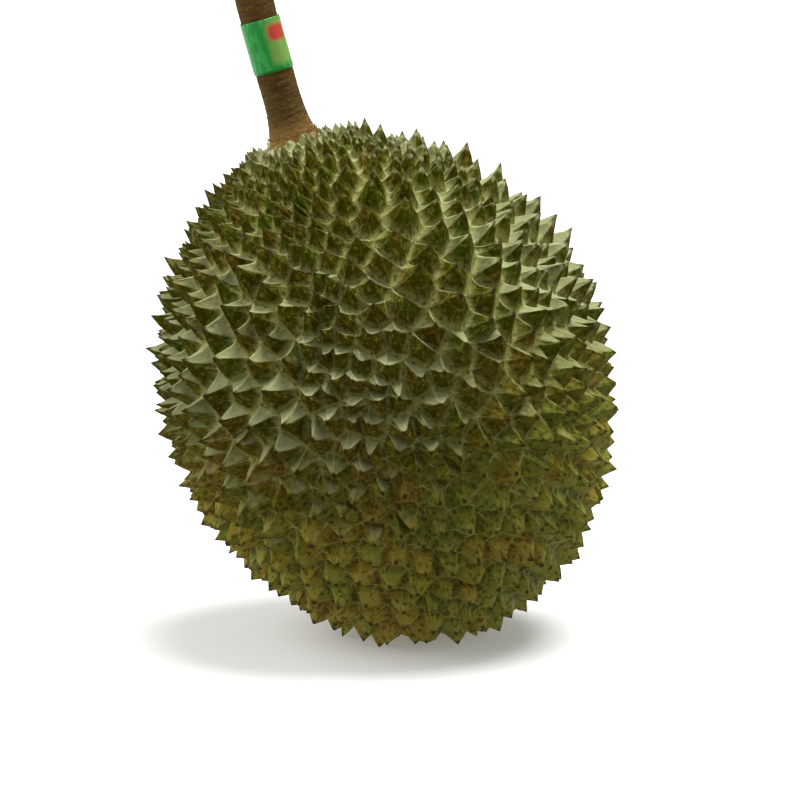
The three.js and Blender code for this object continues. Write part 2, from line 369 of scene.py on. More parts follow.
@dataclass(frozen=True)
class RindFinish:
    """Ripe durian rind, grown: tough fibrous skin, dull to satin, with dark olive and brown spines on a
    paler ground high on the fruit, even mottled olive brown low down, and dry tips. Light and shade are
    painted in too: the ground is partly paler by painted light, the skin is paler by painted light where
    it faces up and on the upper right shoulder, the ridges are paler by rubbing and by painted highlight,
    and low down the spines' tops carry painted highlights and the valleys painted shade.

    Its patterns, besides the noises: up is the share of the way up a spine, ridge is 1 on a ridge, tone is
    the spine's own, and facing is how far the skin looks up.
    """

    wander: Measure = Measure({"patches": 1.0, "tone": 1.0, "mottle": 1.0, "side": 0.3})
    low: Palette = Palette(("#a08443", "#9a8c3d", "#868b3f"), wander, 0.95, 1.95)
    high: Palette = Palette(("#4a420d", "#45480a", "#42500e"), wander, 0.95, 1.95)
    scorch: Layer = Layer("#66501a", Measure({"scorch": 1.0}), 0.5, 0.62, 0.5)
    belly: Layer = Layer("#453006", Measure({"from_belly": 1.0}), 0.075, 0.02, 0.45)
    # Paler ground between the spines high on the fruit: partly the skin's own colour, partly painted light, with more
    # of it on the lit shoulder and round the stem.
    ground: Layer = Layer(
        "#95955a", Measure({"up": 1.0, "zone": -0.3, "painted_light_shoulder": -0.2, "collar": -0.4}), 0.0, -0.2, 0.7
    )
    dusk: Layer = Layer("#37300a", Measure({"up": 1.0}), 0.45, 1.0, 0.35)
    # Painted shade: darker in the valleys between the spines, low on the fruit.
    painted_valley_shade: Layer = Layer("#2d2b08", Measure({"up": 1.0, "zone": 0.4}), 0.35, 0.05, 0.6)
    # Painted highlight: paler near the tops of the spines, low on the fruit.
    crest: Layer = Layer("#a8a052", Measure({"up": 1.0, "zone": -1.0}), 0.3, 0.8, 0.55)
    stain: Layer = Layer("#2b2606", Measure({"stains": 1.0}), 0.52, 0.62, 0.65)
    fleck: Layer = Layer("#8c8546", Measure({"stains": 1.0}), 0.45, 0.35, 0.55)
    # Painted light: paler where the skin faces up, shifted by height, by side, by the upper right shoulder and by the
    # collar round the stem.
    painted_top_light: Layer = Layer(
        "#b3b88a",
        Measure({"facing": 1.0, "zone": 0.2, "top": -0.5, "side": -0.3, "painted_light_shoulder": 0.62, "collar": 0.45}),
        0.48,
        0.98,
        0.76,
    )
    # Paler along the ridges, most low on the spines: partly rubbing, partly painted highlight where the ridges catch
    # the light.
    ridge_rubbing_and_highlight: Layer = Layer("#aca873", Measure({"worn": 1.6, "up": -0.55}), 0.25, 0.85, 0.6)
    dust: Layer = Layer("#bcbd96", Measure({"collar": 1.0}), 0.35, 1.0, 0.25)
    speck: Layer = Layer("#9a8a48", Measure({"cells": 1.0}), 0.2, 0.1, 0.5)
    tip: Layer = Layer("#2b1e0c", Measure({"up": 1.0, "mottle": 0.25}), 0.9, 1.04, 0.88)
    tint: str = "#fff0a0"  # of its gloss
    richness: float = 1.055
    roughness: tuple[float, float] = (0.7, 0.52)  # dull and satin
    zone_mm: tuple[float, float] = (68.0, 128.0)  # up the fruit, where the low look ends and the high one starts
    top_mm: tuple[float, float] = (140.0, 192.0)  # up the fruit, where the painted top light thins out
    side_mm: tuple[float, float] = (-15.0, 25.0)  # across, where it thins out too
    painted_light_side: tuple[float, float, float] = (0.62, 0.0, 0.78)  # the way that the painted light on the shoulder comes from, up and to the right
    painted_light_mm: tuple[float, float] = (136.0, 158.0)  # that way, where the painted light on the shoulder begins and is whole
    foot_mm: tuple[float, float, float] = (-50.0, 0.0, 196.0)  # middle of the collar round the stem, dusty and with more painted light
    collar_mm: tuple[float, float] = (30.0, 12.0)  # from there, where the collar begins and is whole
    belly_mm: tuple[float, float, float] = (-20.0, -90.0, 115.0)  # middle of the browner belly
    height_drift_mm: float = 50.0  # how far the patches shift what changes up the fruit
    painted_light_drift_mm: float = 14.0
    patch_mm: float = 34.0
    scorch_mm: float = 9.0
    mottle_mm: float = 5.0
    stain_mm: float = 2.0
    grain_mm: float = 0.45
    speck_mm: float = 2.4
    fibre_mm: float = 0.5  # real fibres are half as wide, too fine to show
    fibre_length_mm: float = 6.0
    fibre_shade: tuple[float, float] = (0.7, 1.25)
    reliefs: tuple[Relief, ...] = (Relief("fibres", 0.22, 0.9), Relief("grain", 0.1), Relief("mottle", 0.7))

    def build(self, axis: Vector) -> bpy.types.Material:
        """Builds the material.

        Args:
            axis: direction of the fruit's own axis, towards the stem, as it stands.

        Returns:
            The material.
        """
        material, tree = new_surface("durian_rind_grown")
        patterns = self._patterns(tree, axis)
        mixed = {0: patterns["zone"], MIX_A: self.low.spread(tree, patterns), MIX_B: self.high.spread(tree, patterns)}
        colour = add_node(tree, "ShaderNodeMix", mixed, data_type="RGBA").outputs[MIX_COLOUR]
        skin = (self.scorch, self.belly, self.ground, self.dusk, self.painted_valley_shade, self.crest)
        marks = (self.stain, self.fleck, self.painted_top_light, self.ridge_rubbing_and_highlight, self.dust, self.speck)
        for layer in skin + marks:
            colour = layer.lay(tree, colour, patterns)
        span = {"From Min": 0.32, "From Max": 0.68, "To Min": self.fibre_shade[0], "To Max": self.fibre_shade[1]}
        shade = add_node(tree, "ShaderNodeMapRange", {"Value": patterns["fibres"], **span}).outputs["Result"]
        shaded = {0: 1.0, MIX_A: colour, MIX_B: shade}
        colour = add_node(tree, "ShaderNodeMix", shaded, data_type="RGBA", blend_type="MULTIPLY").outputs[MIX_COLOUR]
        colour = self.tip.lay(tree, colour, patterns)
        rich = {"Color": colour, "Saturation": self.richness}
        colour = add_node(tree, "ShaderNodeHueSaturation", rich).outputs["Color"]
        span = {"From Min": 0.3, "From Max": 0.7, "To Min": self.roughness[0], "To Max": self.roughness[1]}
        gloss = add_node(tree, "ShaderNodeMapRange", {"Value": patterns["mottle"], **span}).outputs["Result"]
        surface = {"Base Color": colour, "Roughness": gloss, "Normal": emboss(tree, self.reliefs, patterns)}
        constants = {"IOR": 1.45, "Specular IOR Level": 0.1, "Specular Tint": linear(self.tint)}
        end_surface(tree, surface | constants)
        return material

    def _patterns(self, tree: bpy.types.NodeTree, axis: Vector) -> Patterns:
        """Makes the rind's patterns.

        Args:
            tree: the node tree.
            axis: direction of the fruit's own axis.

        Returns:
            Each pattern by its name.
        """
        place = add_node(tree, "ShaderNodeTexCoord").outputs["Object"]
        patterns = {}
        for name in ("up", "ridge", "tone"):
            patterns[name] = add_node(tree, "ShaderNodeAttribute", attribute_name=name).outputs["Fac"]
        for name, size, detail in (
            ("patches", self.patch_mm, 3.0),
            ("scorch", self.scorch_mm, 4.0),
            ("mottle", self.mottle_mm, 5.0),
            ("stains", self.stain_mm, 5.0),
            ("grain", self.grain_mm, 3.0),
        ):
            cloud = {"Vector": place, "Scale": per_metre(size), "Detail": detail}
            patterns[name] = add_node(tree, "ShaderNodeTexNoise", cloud).outputs["Fac"]
        cells = {"Vector": place, "Scale": per_metre(self.speck_mm)}
        patterns["cells"] = add_node(tree, "ShaderNodeTexVoronoi", cells).outputs["Distance"]
        flank = add_node(tree, "ShaderNodeUVMap", uv_map="flank").outputs["UV"]
        fibre_scale = (1 / self.fibre_mm, 1 / self.fibre_length_mm, 1.0)
        flank = add_node(tree, "ShaderNodeMapping", {"Vector": flank, "Scale": fibre_scale}).outputs["Vector"]
        fibres = {"Vector": flank, "Scale": 1.0, "Detail": 4.0}
        patterns["fibres"] = add_node(tree, "ShaderNodeTexNoise", fibres).outputs["Fac"]
        # Ridges times mottle, for the paler ridges: partly rubbing, partly painted highlight.
        worn = {0: patterns["ridge"], 1: patterns["mottle"]}
        patterns["worn"] = add_node(tree, "ShaderNodeMath", worn, operation="MULTIPLY").outputs[0]
        facing = add_node(tree, "ShaderNodeNewGeometry").outputs["Normal"]
        patterns["facing"] = add_node(tree, "ShaderNodeSeparateXYZ", {"Vector": facing}).outputs["Z"]

        axes = add_node(tree, "ShaderNodeSeparateXYZ", {"Vector": place}).outputs
        for name, operation, point in (
            ("along", "DOT_PRODUCT", axis),
            ("toward_painted_light", "DOT_PRODUCT", Vector(self.painted_light_side)),
            ("from_foot", "DISTANCE", Vector(self.foot_mm) * MM),
            ("from_belly", "DISTANCE", Vector(self.belly_mm) * MM),
        ):
            measured = add_node(tree, "ShaderNodeVectorMath", {0: place, 1: point}, operation=operation)
            patterns[name] = measured.outputs["Value"]
        lower = {0: patterns["along"], 1: axes["Z"]}
        patterns["lower"] = add_node(tree, "ShaderNodeMath", lower, operation="MINIMUM").outputs[0]
        height = Measure({"lower": 1.0, "patches": self.height_drift_mm * MM}).total(tree, patterns)
        # How far a point lies towards the painted light on the upper right shoulder.
        toward_painted_light = Measure({"toward_painted_light": 1.0, "patches": self.painted_light_drift_mm * MM}).total(tree, patterns)
        for name, measured, (start, end) in (
            ("zone", height, self.zone_mm),
            ("top", height, self.top_mm),
            ("side", axes["X"], self.side_mm),
            ("painted_light_shoulder", toward_painted_light, self.painted_light_mm),
            ("collar", patterns["from_foot"], self.collar_mm),
        ):
            span = {"From Min": start * MM, "From Max": end * MM}
            patterns[name] = add_node(tree, "ShaderNodeMapRange", {"Value": measured, **span}).outputs["Result"]
        return patterns


@dataclass(frozen=True)
class BarkFinish:
    """Durian stem bark, grown: dull corky brown skin, finely ringed and wrinkled, greyer and greener in
    patches, with pale corky dots, a fibrous tan foot and a dry paler end."""

    ground: Palette = Palette(("#34230b", "#583e14", "#6a5020"), Measure({"rings": 1.0, "patches": 1.0}), 0.7, 1.3)
    moss: Layer = Layer("#454119", Measure({"patches": 1.0}), 0.52, 0.66, 0.55)
    dot: Layer = Layer("#8c7446", Measure({"dots": 1.0}), 0.16, 0.08, 0.8)
    foot: Layer = Layer("#98743c", Measure({"height": 1.0, "grain": 0.06}), 0.18, 0.06, 0.9)
    scar: Layer = Layer("#74582e", Measure({"height": 1.0}), 0.955, 0.985, 0.8)
    roughness: float = 0.82
    patch_mm: float = 12.0
    grain_mm: float = 0.6
    ring_mm: tuple[float, float] = (14.0, 1.6)  # the rings are long round the stem and short along it
    dot_mm: tuple[float, float] = (2.6, 1.625)
    reliefs: tuple[Relief, ...] = (Relief("rings", 0.5), Relief("grain", 0.25), Relief("dots", -0.3))

    def build(self) -> bpy.types.Material:
        """Builds the material.

        Returns:
            The material.
        """
        material, tree = new_surface("durian_stem_bark_grown")
        place = add_node(tree, "ShaderNodeTexCoord").outputs["Object"]
        wrap = add_node(tree, "ShaderNodeUVMap", uv_map="wrap").outputs["UV"]
        patterns = {"height": add_node(tree, "ShaderNodeAttribute", attribute_name="height").outputs["Fac"]}
        for name, size in (("patches", self.patch_mm), ("grain", self.grain_mm)):
            cloud = {"Vector": place, "Scale": per_metre(size), "Detail": 4.0}
            patterns[name] = add_node(tree, "ShaderNodeTexNoise", cloud).outputs["Fac"]
        for name, kind, (across, lengthwise), more, output in (
            ("rings", "ShaderNodeTexNoise", self.ring_mm, {"Detail": 5.0}, "Fac"),
            ("dots", "ShaderNodeTexVoronoi", self.dot_mm, {}, "Distance"),
        ):
            stretch = {"Vector": wrap, "Scale": (1 / across, 1 / lengthwise, 1.0)}
            stretched = add_node(tree, "ShaderNodeMapping", stretch).outputs["Vector"]
            patterns[name] = add_node(tree, kind, {"Vector": stretched, "Scale": 1.0, **more}).outputs[output]
        colour = self.ground.spread(tree, patterns)
        for layer in (self.moss, self.dot, self.foot, self.scar):
            colour = layer.lay(tree, colour, patterns)
        surface = {"Base Color": colour, "Normal": emboss(tree, self.reliefs, patterns)}
        end_surface(tree, surface | {"Roughness": self.roughness, "Specular IOR Level": 0.2})
        return material


@dataclass(frozen=True)
class PrintedBlock:
    """A plain rounded rectangle printed on the film, its places and sizes in millimetres."""

    name: str
    centre: tuple[float, float]  # round the stem from the front, and up from the film's lower edge
    half: tuple[float, float]
    corner: float = 2.2

    def inside(self, tree: bpy.types.NodeTree, wrap: bpy.types.NodeSocket) -> bpy.types.NodeSocket:
        """Measures how far a point of the film is inside the block.

        Args:
            tree: the node tree.
            wrap: the point's place on the film.

        Returns:
            The distance to its edge, positive inside.
        """
        inner = (self.half[0] - self.corner, self.half[1] - self.corner, 0.0)
        offset = wrap
        for operation, operand in (
            ("SUBTRACT", (*self.centre, 0.0)),
            ("ABSOLUTE", (0.0, 0.0, 0.0)),
            ("SUBTRACT", inner),
            ("MAXIMUM", (0.0, 0.0, 0.0)),
        ):
            offset = add_node(tree, "ShaderNodeVectorMath", {0: offset, 1: operand}, operation=operation).outputs[0]
        length = add_node(tree, "ShaderNodeVectorMath", {0: offset}, operation="LENGTH").outputs["Value"]
        return add_node(tree, "ShaderNodeMath", {0: self.corner, 1: length}, operation="SUBTRACT").outputs[0]


@dataclass(frozen=True)
class FilmFinish:
    """Polypropylene film tape, printed: glossy green film with faint creases that are paler along them,
    partly whitened film and partly painted glint, and one pale printed panel with a plain red rounded block."""

    green: str = "#048e2a"
    # Paler green along the creases: partly whitened film, partly painted glint.
    light: Layer = Layer("#4cc468", Measure({"crease_whitening_and_glint": 1.0}), 0.48, 0.68, 0.6)
    panel: Layer = Layer("#88ae4c", Measure({"panel": 1.0}), -1.2, 1.0, 0.8)
    block: Layer = Layer("#d0262e", Measure({"block": 1.0}), -1.0, 0.8, 0.92)
    prints: tuple[PrintedBlock, ...] = (
        PrintedBlock("panel", (7.8, 12.2), (6.6, 8.8)),
        PrintedBlock("block", (6.0, 15.8), (4.0, 3.1)),
    )
    roughness: float = 0.36
    crease_mm: tuple[float, float] = (2.0, 5.556)
    crease_slant: float = 0.5
    reliefs: tuple[Relief, ...] = (Relief("crease_whitening_and_glint", 0.35, 0.6),)

    def build(self) -> bpy.types.Material:
        """Builds the material.

        Returns:
            The material.
        """
        material, tree = new_surface("polypropylene_film_printed")
        wrap = add_node(tree, "ShaderNodeUVMap", uv_map="wrap").outputs["UV"]
        slant = {
            "Vector": wrap,
            "Rotation": (0, 0, self.crease_slant),
            "Scale": (1 / self.crease_mm[0], 1 / self.crease_mm[1], 1.0),
        }
        creases = add_node(tree, "ShaderNodeMapping", slant).outputs["Vector"]
        crease_whitening_and_glint = {"Vector": creases, "Scale": 1.0, "Detail": 4.0, "Distortion": 0.6}
        patterns = {"crease_whitening_and_glint": add_node(tree, "ShaderNodeTexNoise", crease_whitening_and_glint).outputs["Fac"]}
        for block in self.prints:
            patterns[block.name] = block.inside(tree, wrap)
        colour = linear(self.green)
        for layer in (self.light, self.panel, self.block):
            colour = layer.lay(tree, colour, patterns)
        surface = {"Base Color": colour, "Normal": emboss(tree, self.reliefs, patterns)}
        end_surface(tree, surface | {"Roughness": self.roughness, "IOR": 1.49, "Specular IOR Level": 0.3})
        return material


@dataclass(frozen=True)
class FloorFinish:
    """Matt painted board with a faint painted glow that pales its shadows: near white, with the faintest clouding."""

    pale: str = "#f1f1ef"
    clouded: str = "#e9e9e6"
    cloud_mm: float = 180.0
    painted_glow: float = 0.22  # painted glow of its own colour, which keeps the shadow pale
    roughness: float = 0.9

    def build(self) -> bpy.types.Material:
        """Builds the material.

        Returns:
            The material.
        """
        material, tree = new_surface("painted_board_matt")
        place = add_node(tree, "ShaderNodeTexCoord").outputs["Object"]
        cloud = {"Vector": place, "Scale": per_metre(self.cloud_mm)}
        clouds = add_node(tree, "ShaderNodeTexNoise", cloud).outputs["Fac"]
        mixed = {0: clouds, MIX_A: linear(self.pale), MIX_B: linear(self.clouded)}
        colour = add_node(tree, "ShaderNodeMix", mixed, data_type="RGBA").outputs[MIX_COLOUR]
        surface = {"Base Color": colour, "Emission Color": colour, "Emission Strength": self.painted_glow}
        end_surface(tree, surface | {"Roughness": self.roughness})
        return material


# ---- Shapes -------------------------------------------------------------------------------------


@dataclass(frozen=True)
class FruitForm:
    """The rind's form in the fruit's own frame, axis on Z and stem end up, and how the fruit stands."""

    width: float = 184.0
    length: float = 217.5
    below_equator: float = 110.0
    shoulder_taper: float = 0.133
    crown_rise: float = 7.0
    crown_reach_deg: float = 20.0
    lean_deg: float = 22.5
    spacing: Stations = (
        (0, 4), (12, 4.6), (25, 6.7), (45, 9.8), (60, 11.2), (100, 11.4), (130, 12.2), (155, 12), (180, 9.5),
    )
    height: Stations = (
        (0, 2.5), (12, 4), (24, 7), (45, 9.6), (70, 9.2), (100, 7.6), (130, 6.8), (160, 6.5), (180, 6.5),
    )
    height_spread: float = 0.26
    jitter: float = 0.28
    lobes: int = 5
    lobe_rise: float = 1.5
    lobe_crowding: float = 0.11
    front_seam_deg: float = -4.0
    collar_points: int = 13
    collar_place: float = 8.6
    first_place: float = 13.4
    rest_cut: float = 4.2

    def stretch(self, z: float) -> np.ndarray:
        """Finds the half sizes of the rind under the spines.

        Args:
            z: above 0 for the half towards the stem, or else for the other.

        Returns:
            Half its width, half its depth, and its reach along the axis.
        """
        radius = self.width / 2 - along(self.height, 90)
        below = self.below_equator - along(self.height, 180)
        return np.array([radius, radius, self.to_stem - self.crown_rise if z > 0 else below])

    @property
    def to_stem(self) -> float:
        """From the rind's widest place to the rind under the stem."""
        return self.length - self.below_equator - along(self.height, 0)

    @property
    def leaning(self) -> Quaternion:
        """The turn from the fruit's own frame to how it stands."""
        return Quaternion((0, 1, 0), math.radians(-self.lean_deg))

    def unit_at(self, degrees: float, turn: float) -> np.ndarray:
        """Direction at an angle from the stem end and a turn from the front, in radians."""
        t = math.radians(degrees)
        return np.array([math.sin(t) * math.sin(turn), -math.sin(t) * math.cos(turn), math.cos(t)])

    def rind(self, unit: np.ndarray) -> np.ndarray:
        """Finds the rind's ground, under the spines.

        Args:
            unit: the direction from the fruit's centre.

        Returns:
            The point of the ground that stands for it.
        """
        turn = math.atan2(unit[0], -unit[1])
        crest = -math.cos(self.lobes * (turn - math.radians(self.front_seam_deg)))
        stretch = self.stretch(unit[2])
        swell = 1 + crest * self.lobe_rise * math.hypot(unit[0], unit[1]) / stretch[0]
        girth = swell * (1 - self.shoulder_taper * max(0.0, unit[2]) ** 2)
        point = unit * (girth, girth, 1) * stretch
        degrees = math.degrees(math.acos(max(-1.0, min(1.0, unit[2]))))
        point[2] += self.crown_rise * math.exp(-((degrees / self.crown_reach_deg) ** 2))
        return point

    def outward(self, unit: np.ndarray) -> np.ndarray:
        """Direction square to the rind."""
        normal = unit / self.stretch(unit[2])
        return normal / np.linalg.norm(normal)

    def spine_places(self) -> list[np.ndarray]:
        """Sets the spines out round the fruit by the golden angle, each a little off the rule.

        Returns:
            The directions of all spines, the lowest one first, and then of the collar round the stem.
        """
        draw = seeded_random(20)
        radius = self.stretch(1)[0]
        counts = [0.0]
        for degree in range(180):
            t = math.radians(degree + 0.5)
            girth = 2 * math.pi * radius * math.sin(t)
            half_length = self.to_stem if degree < 90 else self.stretch(-1)[2]
            strip = math.radians(1) * math.hypot(radius * math.cos(t), half_length * math.sin(t))
            counts.append(counts[-1] + girth * strip / (math.sqrt(3) / 2 * along(self.spacing, degree + 0.5) ** 2))
        first = math.ceil(np.interp(math.degrees(self.first_place / radius), range(181), counts))
        places = []
        for i in range(first, math.floor(counts[-1]) + 1):
            degrees = float(np.interp(i, counts, range(181)))
            even = i * GOLDEN_ANGLE
            crowding = self.lobe_crowding * min(1.0, max(0.25, 0.6 + math.cos(math.radians(degrees))))
            turn = even - crowding * math.sin(self.lobes * (even - math.radians(self.front_seam_deg)))
            reach = self.jitter * along(self.spacing, degrees) / radius
            down = degrees + math.degrees((draw() * 2 - 1) * reach)
            across = (draw() * 2 - 1) * reach / max(0.2, math.sin(math.radians(degrees)))
            places.append(self.unit_at(min(down, 179.5), turn + across))
        lowest = np.array(self.leaning.inverted() @ Vector((0, 0, -1))) * self.stretch(-1)
        lowest /= np.linalg.norm(lowest)
        nearest = int(np.argmax(np.array(places) @ lowest))
        places = [lowest, *places[:nearest], *places[nearest + 1 :]]
        collar = math.degrees(self.collar_place / radius)
        step = 2 * math.pi / self.collar_points
        return places + [self.unit_at(collar, i * step) for i in range(self.collar_points)]


@dataclass
class Spine:
    """One spine: the ring of base corners round it, its tip, and the way its flanks rise."""

    ring: list[int]
    foot: np.ndarray
    normal: np.ndarray
    to_stem: np.ndarray
    height: float
    lean: float
    knee: float
    curve: float
    tone: float
    sway: np.ndarray
    even_rise: float = 0.12  # share of the height that is gained evenly, before the knee too

    def point(self, base: np.ndarray, up: np.ndarray) -> np.ndarray:
        """Points of the line from a base corner to the tip.

        Args:
            base: the corner.
            up: shares of the way up, 0 to 1.

        Returns:
            One row for each share.
        """
        v = up[:, None]
        steep = np.maximum(0.0, (v - self.knee) / (1 - self.knee)) ** self.curve
        rise = self.height * (self.even_rise * v + (1 - self.even_rise) * steep)
        drift = self.height * steep**2
        bow = np.sin(math.pi * v) * self.sway
        return base * (1 - v) + self.foot * v + rise * self.normal + drift * self.lean * self.to_stem + bow


@dataclass
class Husk:
    """The spiny rind. Every flank between two ridges is a small hollowed patch of its own."""

    form: FruitForm
    lean_deg: float = 16.0
    lean_reach: float = 0.35  # how far below the fruit's middle the lean goes on, as a share of its half
    tip_at_seed: float = 0.5
    knee: Stations = ((0, 0.05), (22, 0.1), (60, 0.08), (85, 0.12), (110, 0.16), (180, 0.15))
    curve: Stations = ((0, 1.0), (25, 1.1), (60, 1.06), (90, 1.0), (140, 1.0), (180, 1.0))
    curve_chance: tuple[float, float] = (0.9, 0.2)  # least share of it, and what chance may add
    shortest_edge: float = 1.6
    hollow: float = 0.03  # depth of a flank, as a share of its width
    hollow_chance: tuple[float, float] = (0.6, 0.8)  # least share of it, and what chance may add
    sag: float = 0.1  # of a valley between two junctions, as a share of its length
    bead: float = 0.1  # height of the rubbed bead along a ridge
    across: tuple[float, ...] = (0.0, 0.13, 0.5, 0.87, 1.0)
    rows: tuple[float, ...] = (0.0, 0.17, 0.4, 0.7, 1.0)
    few_rows: tuple[float, ...] = (0.0, 0.28, 0.62, 1.0)
    few_below_mm: float = 4.5  # height under which a spine has the few rows
    sway_mm: float = 1.1
    map_mm: float = 90.0  # side of the map that the flanks lie about on
    finish: RindFinish = field(default_factory=RindFinish)
    corners: np.ndarray = field(init=False)  # where the spines' bases meet
    normals: np.ndarray = field(init=False)  # directions square to the rind there
    spines: list[Spine] = field(init=False)
    stand: Vector = field(init=False)  # where the fruit's centre is, with its lowest tip worn off at the origin

    def __post_init__(self) -> None:
        """Works out the spines, and how the fruit stands on the lowest one."""
        places = self.form.spine_places()
        self.corners, self.normals, around = self._base_corners(places)
        self.spines = self._spines(places, around)
        lowest = self.spines[0].point(self.corners[0], np.array([1.0]))[0]
        tip = self.form.leaning @ Vector(lowest)
        self.stand = Vector((-tip.x, -tip.y, -tip.z - self.form.rest_cut))

    def build(self) -> bpy.types.Object:
        """Builds the dressed rind.

        Returns:
            The object, which stands for the solid husk.
        """
        made = self._mesh()
        made.data.materials.append(self.finish.build(self.form.leaning @ Vector((0, 0, 1))))
        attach(made, "root")
        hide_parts("husk")
        return made

    def _base_corners(self, places: list[np.ndarray]) -> tuple[np.ndarray, np.ndarray, list[list[int]]]:
        """Finds where the spines' bases meet.

        Args:
            places: the spines' directions.

        Returns:
            The corners on the rind, the directions square to it there, and for each place the corners
            round it, counterclockwise.
        """
        shell = bmesh.new()
        verts = [shell.verts.new(place) for place in places]
        shell.verts.index_update()
        bmesh.ops.convex_hull(shell, input=verts)
        bmesh.ops.triangulate(shell, faces=shell.faces)
        # Sorted, so that nothing hangs on the order in which the hull gives its faces.
        triples = sorted(sorted(vert.index for vert in face.verts) for face in shell.faces)
        shell.free()
        units, around = [], [[] for _ in places]
        for triple in triples:
            a, b, c = (np.array(places[i]) for i in triple)
            unit = np.cross(b - a, c - a)
            unit *= math.copysign(1, unit @ a) / np.linalg.norm(unit)
            for i in triple:
                around[i].append(len(units))
            units.append(unit)
        points = np.array([self.form.rind(unit) for unit in units])
        joined = self._join_close(points, around)
        rings = []
        for place, ring in zip(places, around):
            east = np.cross((0, 0, 1), place)
            north = np.cross(place, east)
            ring.sort(key=lambda c: math.atan2(units[c] @ north, units[c] @ east))
            ring = [joined[c] for c in ring]
            rings.append([c for i, c in enumerate(ring) if c != ring[(i + 1) % len(ring)]])
        normals = np.array([self.form.outward(unit) for unit in units])
        return points, normals, rings

    def _join_close(self, points: np.ndarray, around: list[list[int]]) -> list[int]:
        """Gives each corner the number of the first corner that lies too close to it.

        Args:
            points: the corners.
            around: the corners round each place.

        Returns:
            For each corner, the corner that it becomes.
        """
        joined = list(range(len(points)))
        for ring in around:
            for a in ring:
                for b in ring:
                    if np.linalg.norm(points[a] - points[b]) < self.shortest_edge:
                        joined[a] = joined[b] = min(joined[a], joined[b])
        for i in range(len(joined)):
            while joined[joined[i]] != joined[i]:
                joined[i] = joined[joined[i]]
        return joined

    def _spines(self, places: list[np.ndarray], around: list[list[int]]) -> list[Spine]:
        """Works out every spine.

        Args:
            places: the spines' directions.
            around: the corners round each place.

        Returns:
            The spines; those of the collar have no height.
        """
        form = self.form
        draw, sway = seeded_random(7), seeded_random(31)
        spines = []
        for i, (place, ring) in enumerate(zip(places, around)):
            degrees = math.degrees(math.acos(max(-1.0, min(1.0, place[2]))))
            middle = self.corners[ring].mean(axis=0)
            spread = np.linalg.norm(self.corners[ring] - middle, axis=1).mean()
            share = 1 + form.height_spread * (draw() * 2 - 1)
            height = along(form.height, degrees) * share * math.sqrt(spread / (0.6 * along(form.spacing, degrees)))
            normal = form.outward(place)
            to_stem = np.array((0.0, 0.0, 1.0)) - normal * normal[2]
            to_stem /= np.linalg.norm(to_stem)
            lean = math.tan(math.radians(self.lean_deg)) * math.sin(math.radians(degrees))
            collar = i >= len(places) - form.collar_points
            spines.append(
                Spine(
                    ring=ring,
                    foot=middle + (form.rind(place) - middle) * (1.0 if collar else self.tip_at_seed),
                    normal=normal,
                    to_stem=to_stem,
                    height=0.0 if collar else height,
                    lean=lean * max(0.0, place[2] + self.lean_reach),
                    knee=along(self.knee, degrees),
                    curve=along(self.curve, degrees) * (self.curve_chance[0] + self.curve_chance[1] * sway()),
                    tone=sway(),
                    sway=np.array([sway() - 0.5 for _ in range(3)]) * (0.0 if i == 0 or collar else self.sway_mm),
                )
            )
        return spines

    def _mesh(self) -> bpy.types.Object:
        """Joins all flanks into one closed skin.

        Returns:
            The husk's object, with its attributes and its map.
        """
        skin = Skin()
        base = [skin.add(c + n * self.bead, 0.0, 1.0, 0.5) for c, n in zip(self.corners, self.normals)]
        valleys: dict[tuple[int, int], list[int]] = {}
        draw = seeded_random(53)
        for spine in self.spines:
            if len(spine.ring) < 3:
                continue
            rows = np.array(self.few_rows if spine.height < self.few_below_mm else self.rows)
            ridges = [spine.point(self.corners[c], rows) for c in spine.ring]
            tip = skin.add(ridges[0][-1], 1.0, 0.6, spine.tone)
            flat = spine.height == 0
            fading = np.clip(1.15 - rows, 0.15, 1)
            beads = 0.0 if flat else (self.bead * fading)[:, None]
            ridge_ids = []
            for c, line in zip(spine.ring, ridges):
                lifted = line + beads * spine.normal
                inner = [skin.add(p, v, 0.0 if flat else 1.0, spine.tone) for p, v in zip(lifted[1:-1], rows[1:-1])]
                ridge_ids.append([base[c], *inner, tip])
            for k, c in enumerate(spine.ring):
                n = (k + 1) % len(spine.ring)
                grid = [self._valley(skin, base, valleys, c, spine.ring[n])]
                depth = self.hollow * (self.hollow_chance[0] + self.hollow_chance[1] * draw())
                hollows = self._hollow_rows(skin, ridges[k], ridges[n], rows, depth, spine.tone)
                for row, inner in enumerate(hollows, 1):
                    grid.append([ridge_ids[k][row], *inner, ridge_ids[n][row]])
                shift = (draw() * self.map_mm, draw() * self.map_mm)
                width = np.linalg.norm(ridges[n][0] - ridges[k][0])
                slant = np.linalg.norm(ridges[k][-1] - ridges[k][0])
                skin.patch(grid, tip, self.across, rows, width, slant, shift)
        return skin.make("husk_rind", self.form.leaning, self.stand)

    def _valley(
        self, skin: "Skin", base: list[int], valleys: dict[tuple[int, int], list[int]], a: int, b: int
    ) -> list[int]:
        """Finds the sagging valley between two corners, which two flanks share, or makes it.

        Args:
            skin: the skin that it is part of.
            base: the vertex of each corner.
            valleys: the valleys made so far, by their corners.
            a: the corner it starts at.
            b: the corner it ends at.

        Returns:
            Its vertices from a to b, ends included.
        """
        low, high = min(a, b), max(a, b)
        if (low, high) not in valleys:
            span = self.corners[high] - self.corners[low]
            depth = self.sag * np.linalg.norm(span)
            inner = []
            for share in self.across[1:-1]:
                out = self.normals[low] * (1 - share) + self.normals[high] * share
                spot = self.corners[low] + span * share - out * depth * 4 * share * (1 - share)
                inner.append(skin.add(spot, 0.0, 0.0, 0.5))
            valleys[low, high] = [base[low], *inner, base[high]]
        line = valleys[low, high]
        return line if a == low else line[::-1]

